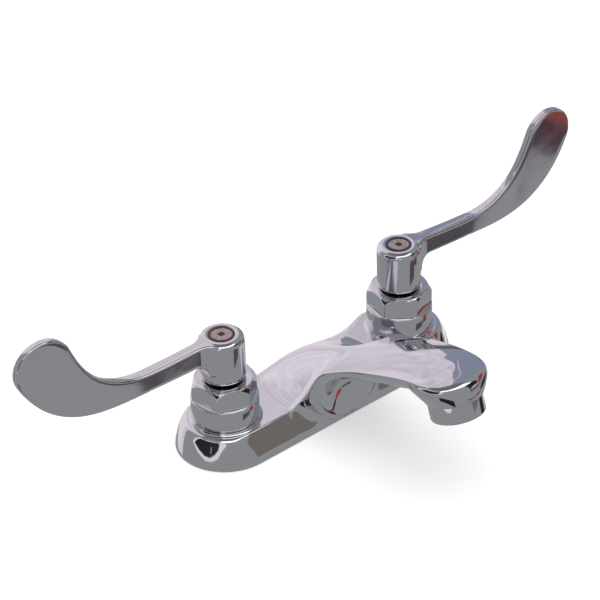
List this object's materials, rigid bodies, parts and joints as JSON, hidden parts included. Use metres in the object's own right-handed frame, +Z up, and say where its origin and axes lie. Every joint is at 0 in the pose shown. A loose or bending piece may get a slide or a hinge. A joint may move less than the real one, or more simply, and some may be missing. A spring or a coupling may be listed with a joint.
{
  "type": "centerset bathroom sink faucet",
  "caption": "Chrome two-handle bathroom sink faucet: a low deck body with an arched spout and long wrist-blade levers on quarter-turn valves.",
  "frame": {"origin": "on the deck gasket's flat underside, midway between the two valves", "axes": "+Z up out of the sink deck, +X along the valves towards the cold (user's right) side, -Y out along the spout towards the user"},
  "size_m": [0.3023, 0.1251, 0.1419],
  "materials": {
    "chrome_plate": "polished chrome plate on cast brass",
    "plain_brass": "machined, unplated",
    "stainless_steel": "satin",
    "black_rubber": "moulded, matt",
    "white_ceramic": "lapped white ceramic, opaque",
    "dark_red_plastic": "glossy",
    "dark_blue_plastic": "glossy",
    "white_plastic": "moulded",
    "green_plastic": "moulded"
  },
  "bodies": {
    "fixed_faucet": {"body_casting": "chrome_plate", "deck_gasket": "black_rubber", "hot_inlet_shank": "plain_brass", "cold_inlet_shank": "plain_brass", "shank_washers": "stainless_steel", "shank_locknuts": "plain_brass", "hot_bonnet_nut": "chrome_plate", "cold_bonnet_nut": "chrome_plate", "hot_cartridge_body": "plain_brass", "cold_cartridge_body": "plain_brass", "hot_cartridge_seal": "black_rubber", "cold_cartridge_seal": "black_rubber", "hot_seat_seal": "black_rubber", "cold_seat_seal": "black_rubber", "hot_fixed_disc": "white_ceramic", "cold_fixed_disc": "white_ceramic", "aerator_housing": "chrome_plate", "aerator_washer": "black_rubber", "flow_restrictor": "green_plastic", "aerator_insert": "white_plastic", "aerator_screen": "stainless_steel"},
    "hot_valve_turning": {"hot_handle": "chrome_plate", "hot_handle_screw": "stainless_steel", "hot_index_ring": "dark_red_plastic", "hot_stem": "plain_brass", "hot_turning_disc": "white_ceramic", "hot_stem_seal": "black_rubber", "hot_stem_clip": "stainless_steel"},
    "cold_valve_turning": {"cold_handle": "chrome_plate", "cold_handle_screw": "stainless_steel", "cold_index_ring": "dark_blue_plastic", "cold_stem": "plain_brass", "cold_turning_disc": "white_ceramic", "cold_stem_seal": "black_rubber", "cold_stem_clip": "stainless_steel"}
  },
  "joints": [
    {"name": "hot_handle_turn", "type": "hinge", "parent": "fixed_faucet", "child": "hot_valve_turning", "pos_m": [-0.0508, 0, 0.045], "axis": [0, 0, 1], "range_deg": [0, 90]},
    {"name": "cold_handle_turn", "type": "hinge", "parent": "fixed_faucet", "child": "cold_valve_turning", "pos_m": [0.0508, 0, 0.045], "axis": [0, 0, -1], "range_deg": [0, 90]}
  ]
}
